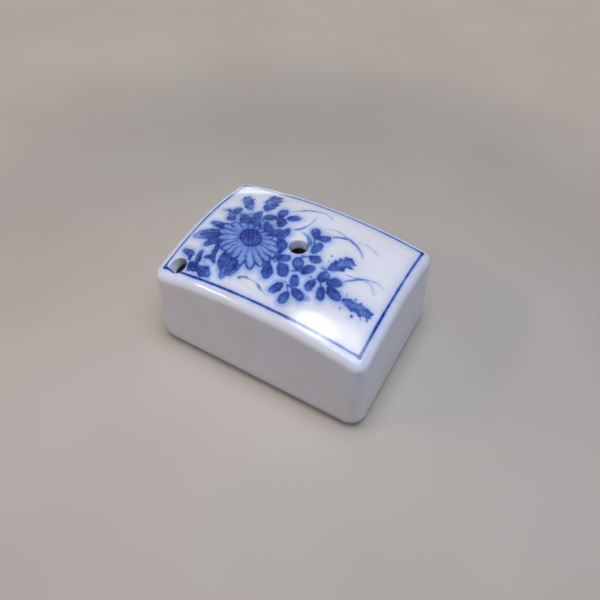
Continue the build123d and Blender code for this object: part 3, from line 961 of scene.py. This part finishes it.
# %% Grass
# Each blade: the places it runs through, and its width and ink at each.
GRASS = (
    (((-0.138, 0.225), (-0.100, 0.255), (-0.065, 0.279), (-0.020, 0.295), (0.030, 0.290), (0.052, 0.264)),
     (0.006, 0.010, 0.010, 0.008, 0.007, 0.004), (0.45, 0.70, 0.60, 0.25, 0.25, 0.12)),
    (((-0.054, 0.102), (-0.030, 0.130), (-0.018, 0.170), (-0.015, 0.210), (-0.018, 0.246)),
     (0.012, 0.011, 0.008, 0.006, 0.004), (0.80, 0.70, 0.42, 0.35, 0.12)),
    (((0.118, 0.150), (0.150, 0.170), (0.185, 0.180), (0.222, 0.170), (0.270, 0.135), (0.302, 0.098)),
     (0.010, 0.011, 0.014, 0.014, 0.010, 0.005), (0.75, 0.70, 0.72, 0.60, 0.40, 0.15)),
    (((0.060, 0.190), (0.110, 0.202), (0.160, 0.192), (0.195, 0.178)),
     (0.005, 0.007, 0.008, 0.009), (0.15, 0.30, 0.35, 0.45)),
    (((0.235, 0.192), (0.280, 0.196), (0.330, 0.176), (0.352, 0.164)),
     (0.007, 0.006, 0.006, 0.004), (0.20, 0.26, 0.20, 0.08)),
    (((0.288, -0.062), (0.310, -0.036), (0.340, -0.012), (0.372, 0.004), (0.410, 0.012), (0.452, 0.000)),
     (0.008, 0.012, 0.012, 0.010, 0.007, 0.004), (0.55, 0.66, 0.55, 0.48, 0.26, 0.10)),
    (((0.264, -0.032), (0.292, -0.022), (0.322, -0.016)), (0.006, 0.008, 0.006), (0.20, 0.32, 0.30)),
    (((0.352, -0.004), (0.400, -0.020), (0.422, -0.052)), (0.008, 0.012, 0.014), (0.24, 0.18, 0.08)),
    (((-0.132, -0.264), (-0.106, -0.250), (-0.074, -0.251), (-0.044, -0.254)),
     (0.016, 0.012, 0.006, 0.005), (0.66, 0.60, 0.26, 0.2)),
    (((-0.046, -0.254), (-0.030, -0.263), (-0.016, -0.274), (0.020, -0.290)),
     (0.008, 0.013, 0.010, 0.005), (0.36, 0.62, 0.45, 0.12)),
    (((-0.120, -0.276), (-0.060, -0.290), (0.000, -0.300)), (0.005, 0.005, 0.004), (0.10, 0.14, 0.06)),
    (((-0.012, 0.102), (0.020, 0.090), (0.045, 0.060), (0.056, 0.040)), (0.012, 0.026, 0.030, 0.020),
     (0.40, 0.52, 0.60, 0.62)),
)
GRASS_WIDTH, GRASS_INK, GRASS_SOFT = 0.85, 0.85, 0.75        # against the blades above; mm

# A short dark hook beside the left border.
HOOK = ((-0.445, 0.085), (-0.427, 0.094), (-0.412, 0.082), (-0.410, 0.062))
HOOK_WIDTHS, HOOK_INKS = (0.006, 0.012, 0.012, 0.006), (0.7, 0.85, 0.85, 0.6)


def paint_grass(cobalt):
    """Blades of grass, and the hook."""
    for places, widths, inks in GRASS:
        cobalt.stroke(places, np.array(widths) * GRASS_WIDTH, np.array(inks) * GRASS_INK, soft=GRASS_SOFT,
                      bleed=THIN_BLEED)
    cobalt.stroke(HOOK, HOOK_WIDTHS, HOOK_INKS, soft=FINE_SOFT)


print(len(GRASS), "strokes of grass")

# %% [markdown]
# ## The border
# The border was ruled with a thin brush, one side at a time. Cobalt pools where two strokes meet, so the
# corners are darkest. The strokes' own function would make it wobble like the flowers, so it has a function
# of its own, which measures from the ruled line and lets only the width and the ink wander.

# %% Border
# Front, right, back and left side: the line's width against the brush's, and its ink.
SIDES = ((1.0, 0.95), (1.05, 0.86), (0.72, 0.86), (0.68, 0.92))
LINE_REACH, LINE_SOFT = 0.05, 0.5             # share of the field; mm
SWELL, RIPPLE = (0.12, 11), (0.08, 37)        # of a line's width: how much it varies, and how often
INK_SWELL = (0.08, 7)        # the same of its ink
POOL_WIDTH, POOL_REACH = 0.2, 0.6             # mm that a line is wider at a corner, fading over so many mm
POOL_INK, POOL_INK_REACH = 0.26, 1.5          # ink that it has more at a corner, fading over so many mm


def paint_border(cobalt):
    """The four ruled sides, with pools of cobalt in the corners."""
    low, high = field_low / FIELD, field_high / FIELD
    corners = np.array([(low[0], low[1]), (high[0], low[1]), (high[0], high[1]), (low[0], high[1])])
    for start, end, (width, full) in zip(corners, np.roll(corners, -1, axis=0), SIDES):
        near = cobalt.close_to([start, end], LINE_REACH)
        points = cobalt.ruled[near]
        step = (end - start) / np.linalg.norm(end - start)
        along = np.clip((points - start) @ step, 0, np.linalg.norm(end - start))
        distance = np.linalg.norm(points - start - along[:, None] * step, axis=1) * FIELD
        swell, ripple = np.sin(SWELL[1] * along), np.sin(RIPPLE[1] * along + 1)
        wander = LINE / 2 * (width + SWELL[0] * swell + RIPPLE[0] * ripple)
        corner = np.min(np.linalg.norm(points[:, None] - corners, axis=2), axis=1) * FIELD
        uneven = full + INK_SWELL[0] * np.sin(INK_SWELL[1] * along + start[0])
        ink = uneven + POOL_INK * np.exp(-corner / POOL_INK_REACH)
        pooled = distance - wander - POOL_WIDTH * np.exp(-corner / POOL_REACH)
        cobalt.lay(near, pooled, ink, soft=LINE_SOFT, bleed=THIN_BLEED)


print("the border's lines are", [round(LINE * width, 2) for width, _ in SIDES], "mm wide")

# %% [markdown]
# ## Painting the roof
# The painter begins with what lies furthest back and ends with the flower and the border, because raw clay
# forgives nothing. The drawing could be baked into an image, but an image has pixels, and nodes for over two
# hundred strokes would be past reading. So the ink is worked out once at each vertex of the fine roof and
# kept in an attribute, a named list of numbers that the glaze's nodes can read.

# %% Paint the roof
PAINT_LOW = 4                # mm below the roof's corners, under which nothing is painted
PAINT_DEPTH = 1.6            # mm below the skin, likewise, so that the cavity stays white
BLUE = 0.3                   # ink from which a vertex counts as painted


def paint(piece):
    """Works the drawing out at the piece's vertices and keeps it there for the glaze to read."""
    count = len(piece.data.vertices)
    points = np.empty(count * 3)
    piece.data.vertices.foreach_get("co", points)
    points = points.reshape(-1, 3) / MM
    upper = np.nonzero(points[:, 2] > corner_height - PAINT_LOW)[0]
    skin = outside.height(points[upper, :2])
    upper = upper[points[upper, 2] > skin - PAINT_DEPTH]
    cobalt = Cobalt(points[upper, :2])
    paint_leaves(cobalt)
    paint_clover(cobalt)
    paint_corner_leaf(cobalt)
    for spike in SPIKES:
        paint_spike(cobalt, *spike)
    paint_grass(cobalt)
    paint_petals(cobalt)
    paint_heart(cobalt)
    paint_border(cobalt)
    ink = np.zeros(count)
    ink[upper] = np.clip(np.maximum(cobalt.ink, cobalt.bleed), 0, 1)
    piece.data.attributes.new("cobalt", "FLOAT", "POINT").data.foreach_set("value", ink)
    print("painted", round(100 * np.mean(ink[upper] > BLUE)), "% of", len(upper), "vertices of the roof")


paint(porcelain_shell)

# %% [markdown]
# ## Building materials from nodes
# Glaze, slip and bare clay are mixed from the same few things: places in millimetres, noise, colours and a
# shader. One could click them together, but written out they can be read and changed. One function turns a
# colour's hex code into the linear light that shaders work in, and one adds a node with its settings and
# links. Places are the object's own, in millimetres, so that a pattern's size is a real size.

# %% Node helpers
FACTOR, FIRST, SECOND, MIXED = 0, 6, 7, 2     # a Mix node's sockets for colours, and its output


def linear(hex_colour):
    """The linear colour of an sRGB hex code, with full alpha."""
    parts = [int(hex_colour[i:i + 2], 16) / 255 for i in (0, 2, 4)]
    return [c / 12.92 if c <= 0.04045 else ((c + 0.055) / 1.055) ** 2.4 for c in parts] + [1]


def node(tree, kind, sockets=None, stops=(), **settings):
    """Adds a node and gives its outputs. A socket's value is a constant, or an output to link. Stops are a
    colour ramp's, as (position, hex colour)."""
    made = tree.nodes.new("ShaderNode" + kind)
    for name, value in settings.items():
        setattr(made, name, value)
    for name, value in (sockets or {}).items():
        if isinstance(value, bpy.types.NodeSocket):
            tree.links.new(value, made.inputs[name])
        else:
            made.inputs[name].default_value = value
    for _ in stops[2:]:
        made.color_ramp.elements.new(0.5)
    for number, (position, colour) in enumerate(stops):
        made.color_ramp.elements[number].position = position
        made.color_ramp.elements[number].color = linear(colour)
    return made.outputs


def material(name, piece):
    """A new material on a piece, its empty tree and its places in millimetres."""
    made = bpy.data.materials.new(name)
    made.use_nodes = True
    made.node_tree.nodes.clear()
    piece.data.materials.append(made)
    places = node(made.node_tree, "TexCoord")["Object"]
    scaled = node(made.node_tree, "VectorMath", {0: places, "Scale": 1 / MM}, operation="SCALE")
    return made.node_tree, scaled[0]


print("mid grey, 808080, is", round(linear("808080")[0], 3), "in linear light")

# %% [markdown]
# ## Clear glaze over cobalt
# A clear porcelain glaze is glass: an index of refraction near 1.5 and a surface smoother than any tool
# mark, though never quite flat. It flows in the kiln and keeps a faint waviness some millimetres long and a
# finer orange peel. Cobalt under it goes from pale sky blue to ink blue with its thickness, and the iron in
# the clay shows as a rare speck. The glaze could be a layer of glass of its own, but it is a fraction of a
# millimetre thick and fused to the clay, so one shader with a sharp reflection over a body that lets a
# little light in gives the eye the same and renders faster.

# %% Glaze
# Clear feldspar glaze, dipped and melted: a sharp reflection over a milky, faintly blue white.
GLAZE_IOR, GLAZE_ROUGHNESS = 1.5, 0.08
WAVE_SIZE, WAVE_HEIGHT, WAVE_STRENGTH = 7.0, 0.05, 0.35      # mm, mm: how the melt ran
PEEL_SIZE, PEEL_HEIGHT, PEEL_STRENGTH = 1.1, 0.006, 0.25     # mm, mm: its orange peel
GLOW_WEIGHT, GLOW_DEPTH = 0.6, 3.0            # light that goes into the white clay, and how many mm deep
GLOW_COLOURS = (1.0, 0.85, 0.75)              # red goes deepest


def glaze(tree, places, colour):
    """Clear glaze over a colour: nearly smooth, with waviness and orange peel."""
    waves = node(tree, "TexNoise", {"Vector": places, "Scale": 1 / WAVE_SIZE, "Detail": 1.0})["Fac"]
    peel = node(tree, "TexNoise", {"Vector": places, "Scale": 1 / PEEL_SIZE, "Detail": 1.0})["Fac"]
    wavy = node(tree, "Bump", {"Height": waves, "Strength": WAVE_STRENGTH, "Distance": WAVE_HEIGHT * MM})[0]
    rough = node(tree, "Bump", {"Height": peel, "Strength": PEEL_STRENGTH, "Distance": PEEL_HEIGHT * MM,
                                "Normal": wavy})[0]
    return node(tree, "BsdfPrincipled", {
        "Base Color": colour, "Roughness": GLAZE_ROUGHNESS, "IOR": GLAZE_IOR, "Normal": rough,
        "Subsurface Weight": GLOW_WEIGHT, "Subsurface Radius": GLOW_COLOURS,
        "Subsurface Scale": GLOW_DEPTH * MM,
    })[0]


print("a wave of the glaze is", WAVE_SIZE, "mm long and", WAVE_HEIGHT, "mm high")

# %% White under the glaze
GLAZE_WHITE = "E1E3F0"
GLAZE_THIN = "E0DFE6"        # where the glaze ran thin, the clay's own warmer white
CLOUD_SIZE = 9.0             # mm between thick and thin glaze
IRON_SPECK = "6E5A48"
SPECK_SPACING = 7.0          # mm between grains of iron in the clay, few of which lie at its surface
SPECK_CORE, SPECK_EDGE = 0.008, 0.022         # of that spacing, a speck's radii
SPECK_INK = 0.45


def glaze_white(tree, places):
    """The white that shows through the glaze, a little uneven, with a rare iron speck."""
    cloud = node(tree, "TexNoise", {"Vector": places, "Scale": 1 / CLOUD_SIZE, "Detail": 2.0})["Fac"]
    white = node(tree, "ValToRGB", {"Fac": cloud}, stops=((0.35, GLAZE_THIN), (0.62, GLAZE_WHITE)))["Color"]
    grains = node(tree, "TexVoronoi", {"Vector": places, "Scale": 1 / SPECK_SPACING, "Randomness": 1.0})
    speck = node(tree, "MapRange", {"Value": grains["Distance"], "From Min": SPECK_CORE,
                                    "From Max": SPECK_EDGE, "To Min": SPECK_INK, "To Max": 0.0})[0]
    return node(tree, "Mix", {FACTOR: speck, FIRST: white, SECOND: linear(IRON_SPECK)},
                data_type="RGBA")[MIXED]


print("white", GLAZE_WHITE, "where the glaze is thick and", GLAZE_THIN, "where it is thin")

# %% Cobalt under the glaze
# Cobalt washes brushed on raw porcelain: the thicker they lie, the deeper the blue, and never quite evenly.
COBALT_STOPS = (
    (0.0, "FFFFFF"), (0.16, "BAD0F4"), (0.38, "84A4E0"), (0.62, "486EBF"), (0.84, "2E4BA5"), (1.0, "1C2F89"),
)
POOL_SIZE, POOLING = 1.6, 1.2                 # mm between pools in a wash, and how strong they are
GRAIN_SIZE, GRAIN = 0.35, 0.24                # mm; finer in reality, drawn as coarse as it needs to show

tree, places = material("glazed_porcelain_with_cobalt", porcelain_shell)
ink = node(tree, "Attribute", attribute_name="cobalt")["Fac"]
pools = node(tree, "TexNoise", {"Vector": places, "Scale": 1 / POOL_SIZE, "Detail": 3.0})["Fac"]
grain = node(tree, "TexNoise", {"Vector": places, "Scale": 1 / GRAIN_SIZE, "Detail": 1.0})["Fac"]
pooled = node(tree, "Math", {0: pools, 1: POOLING, 2: 1 - POOLING / 2}, operation="MULTIPLY_ADD")[0]
grainy = node(tree, "Math", {0: grain, 1: GRAIN, 2: -GRAIN / 2}, operation="MULTIPLY_ADD")[0]
uneven = node(tree, "Math", {0: pooled, 1: grainy}, operation="ADD")[0]
thick = node(tree, "Math", {0: ink, 1: uneven}, operation="MULTIPLY")[0]
blue = node(tree, "ValToRGB", {"Fac": thick}, stops=COBALT_STOPS)["Color"]
painted = node(tree, "Mix", {FACTOR: 1.0, FIRST: glaze_white(tree, places), SECOND: blue},
               data_type="RGBA", blend_type="MULTIPLY")[MIXED]
node(tree, "OutputMaterial", {"Surface": glaze(tree, places, painted)})
print("glazed_porcelain_with_cobalt has", len(tree.nodes), "nodes")

# %% Glazed slip
# The seam's slip is the same clay under the same glaze, so it looks the same, without the painting.
tree, places = material("glazed_slip", slip_seam)
node(tree, "OutputMaterial", {"Surface": glaze(tree, places, glaze_white(tree, places))})
print("glazed_slip has", len(tree.nodes), "nodes")

# %% [markdown]
# ## The bare foot
# Porcelain that was fired without glaze is matt, a little warm and finely grained. The glaze was wiped from
# the rim with a wet sponge, so its edge wanders, and along it iron in the clay flashed orange. Two materials
# on separate faces would meet in a straight line, so one material goes from bare clay to glaze by height,
# with noise in that height.

# %% Bare foot
# Bare fired porcelain, wiped with a sponge: matt, warm and grainy, under the edge of the glossy glaze.
GLAZE_LINE, LINE_WANDER, WANDER_SIZE = 0.35, 0.5, 5.0        # mm above the desk, up and down, and along
GLAZE_EDGE = 0.08            # mm, over which the glaze thins out
FLASH_WIDTH, FLASH_INK = 0.45, 0.6            # mm below the glaze that the iron coloured
BARE_CLAY, BARE_SHADE, BURNT_EDGE = "D8CDBB", "CDBFAB", "BE9C7C"
BARE_ROUGHNESS = 0.75
TOOTH_SIZE, TOOTH_HEIGHT, TOOTH_STRENGTH = 0.3, 0.03, 0.5    # mm, mm; finer in reality, drawn to show

tree, places = material("bare_porcelain_under_glaze", floor_slab)
height = node(tree, "SeparateXYZ", {"Vector": places})["Z"]
wander = node(tree, "TexNoise", {"Vector": places, "Scale": 1 / WANDER_SIZE, "Detail": 3.0})["Fac"]
line = node(tree, "Math", {0: wander, 1: LINE_WANDER, 2: GLAZE_LINE - LINE_WANDER / 2},
            operation="MULTIPLY_ADD")[0]
above_line = node(tree, "Math", {0: height, 1: line}, operation="SUBTRACT")[0]
glazed = node(tree, "MapRange", {"Value": above_line, "From Min": 0.0, "From Max": GLAZE_EDGE})[0]
flash = node(tree, "MapRange", {"Value": above_line, "From Min": -FLASH_WIDTH, "From Max": 0.0,
                                "To Max": FLASH_INK})[0]
tooth = node(tree, "TexNoise", {"Vector": places, "Scale": 1 / TOOTH_SIZE, "Detail": 4.0})["Fac"]
clay = node(tree, "ValToRGB", {"Fac": tooth}, stops=((0.3, BARE_SHADE), (0.7, BARE_CLAY)))["Color"]
toned = node(tree, "Mix", {FACTOR: flash, FIRST: clay, SECOND: linear(BURNT_EDGE)},
             data_type="RGBA")[MIXED]
grainy = node(tree, "Bump", {"Height": tooth, "Strength": TOOTH_STRENGTH, "Distance": TOOTH_HEIGHT * MM})[0]
bare = node(tree, "BsdfPrincipled", {"Base Color": toned, "Roughness": BARE_ROUGHNESS, "Normal": grainy})[0]
over = glaze(tree, places, glaze_white(tree, places))
foot = node(tree, "MixShader", {0: glazed, 1: bare, 2: over})[0]
node(tree, "OutputMaterial", {"Surface": foot})
print("the glaze begins", GLAZE_LINE, "mm above the desk, give or take", LINE_WANDER / 2)

# %% [markdown]
# ## The studio
# Glaze looks like glaze only with something to reflect. One could light it with a picture of a room, but the
# photograph's highlights say where its lamps stood: a round one whose image lies on the roof's front, and a
# strip whose image lies on the rolled edge. So softboxes stand there. Their cloth glows most in a ring round
# the shaded bulb and fades towards the rim, so a highlight has a soft edge instead of being cut off.

# %% Studio
STAGE = 2                    # m from the block to the paper's edges
BOX_MIDDLE = (0.5, 0.5, 0)   # a softbox runs from 0 to 1 both ways
BULB_SHADE, SHADE_EDGE = 0.5, 0.05            # brightness before the shaded bulb, and its radius
BRIGHT_RING, RIM = 0.25, 0.5                  # radii, as shares of the box's width
MEAN_GLOW = 0.53             # of such a box, against an evenly bright one

stage_mesh = bpy.data.meshes.new("studio_floor")
stage_corners = [(-STAGE, -STAGE, 0), (STAGE, -STAGE, 0), (STAGE, STAGE, 0), (-STAGE, STAGE, 0)]
stage_mesh.from_pydata(stage_corners, [], [(0, 1, 2, 3)])
studio_floor = in_scene("studio_floor", stage_mesh)


def softbox(name, spot, aim, size, power, colour):
    """An area light with a round soft edge, placed and aimed in millimetres, its power in watts."""
    light = bpy.data.lights.new(name, "AREA")
    light.shape = "ELLIPSE"
    light.size, light.size_y = size[0] * MM, size[1] * MM
    light.energy = power / MEAN_GLOW
    light.color = colour
    light.use_nodes = True
    tree = light.node_tree
    spread = node(tree, "NewGeometry")["Parametric"]
    out = node(tree, "VectorMath", {0: spread, 1: BOX_MIDDLE}, operation="DISTANCE")["Value"]
    shaded = node(tree, "MapRange", {"Value": out, "From Min": SHADE_EDGE, "From Max": BRIGHT_RING,
                                     "To Min": BULB_SHADE})[0]
    faded = node(tree, "MapRange", {"Value": out, "From Min": BRIGHT_RING, "From Max": RIM, "To Min": 1.0,
                                    "To Max": 0.0})[0]
    glow = node(tree, "Math", {0: shaded, 1: faded}, operation="MULTIPLY")[0]
    tree.links.new(glow, tree.nodes["Emission"].inputs["Strength"])
    ray = Vector(aim) - Vector(spot)
    lamp = in_scene(name, light)
    lamp.location = Vector(spot) * MM
    lamp.rotation_euler = ray.to_track_quat("-Z", "Y").to_euler()
    print(name, "stands", round(ray.length), "mm from the block")


softbox("overhead_softbox", spot=(60, -50, 370), aim=(0, 0, 20), size=(320, 320), power=0.94,
        colour=(0.92, 0.96, 1.0))
softbox("round_softbox", spot=(-3, 7, 262), aim=(0, 0, 20), size=(80, 80), power=0.095,
        colour=(0.95, 0.98, 1.0))
softbox("front_strip", spot=(-108, -96, 150), aim=(-10, -15, 22), size=(74, 9), power=0.072,
        colour=(1.0, 0.82, 0.72))
softbox("cool_fill", spot=(330, 60, 150), aim=(0, 0, 15), size=(200, 160), power=0.12,
        colour=(0.26, 0.50, 1.0))
softbox("back_window", spot=(-230, 300, 70), aim=(0, 0, 15), size=(260, 50), power=0.06,
        colour=(0.90, 0.95, 1.0))

# %% [markdown]
# ## Paper that doesn't end
# The block stands on pale paper. In a studio it is curved up behind the object, but a curved sheet serves
# only one view. Lamps as near as these leave flat paper dark far off, so beyond a hand's breadth it shows
# its own pale tone to the eye and to reflections, while the light that falls on the block stays the light of
# the lamps. The air behind has the same tone, so a low view has no dark horizon.

# %% Air
AIR, AIR_GLOW = 0.04, 0.44   # the room's light on the block, and its tone to the eye
AIR_COLOUR = (1.0, 0.93, 0.90, 1)


def seen(tree):
    """One for what the eye sees, straight or in a reflection, and zero for light on its way."""
    ray = node(tree, "LightPath")
    straight = node(tree, "Math", {0: ray["Is Camera Ray"], 1: ray["Is Glossy Ray"]}, operation="ADD")[0]
    return node(tree, "Math", {0: straight, 1: ray["Is Transmission Ray"]}, operation="ADD")[0]


world = bpy.data.worlds.new("studio")
bpy.context.scene.world = world
world.use_nodes = True
tree = world.node_tree
air = node(tree, "Math", {0: seen(tree), 1: AIR_GLOW - AIR, 2: AIR}, operation="MULTIPLY_ADD")[0]
tree.nodes["Background"].inputs["Color"].default_value = AIR_COLOUR
tree.links.new(air, tree.nodes["Background"].inputs["Strength"])
print("the air lights the block with", AIR, "and shows as", AIR_GLOW)

# %% Paper
# Uncoated studio paper: matt, pale and nearly even.
PAPER_TONES, TONE_SIZE = ((0.35, "B9B1AB"), (0.65, "BDB6B0")), 60.0        # mm between its tones
PAPER_ROUGHNESS = 0.9
PAPER_GLOW = 0.85            # how brightly the lamps light the paper near the block
NEAR, FAR = 75, 190          # mm from the block, where the lit paper gives way

tree, places = material("pale_paper", studio_floor)
tone = node(tree, "TexNoise", {"Vector": places, "Scale": 1 / TONE_SIZE, "Detail": 2.0})["Fac"]
paper = node(tree, "ValToRGB", {"Fac": tone}, stops=PAPER_TONES)["Color"]
lit = node(tree, "BsdfPrincipled", {"Base Color": paper, "Roughness": PAPER_ROUGHNESS})[0]
glow = node(tree, "Emission", {"Color": paper, "Strength": PAPER_GLOW})[0]
away = node(tree, "VectorMath", {0: places}, operation="LENGTH")["Value"]
far = node(tree, "MapRange", {"Value": away, "From Min": NEAR, "From Max": FAR},
           interpolation_type="SMOOTHSTEP")[0]
share = node(tree, "Math", {0: seen(tree), 1: far}, operation="MULTIPLY")[0]
endless = node(tree, "MixShader", {0: share, 1: lit, 2: glow})[0]
node(tree, "OutputMaterial", {"Surface": endless})
print("pale_paper has", len(tree.nodes), "nodes")
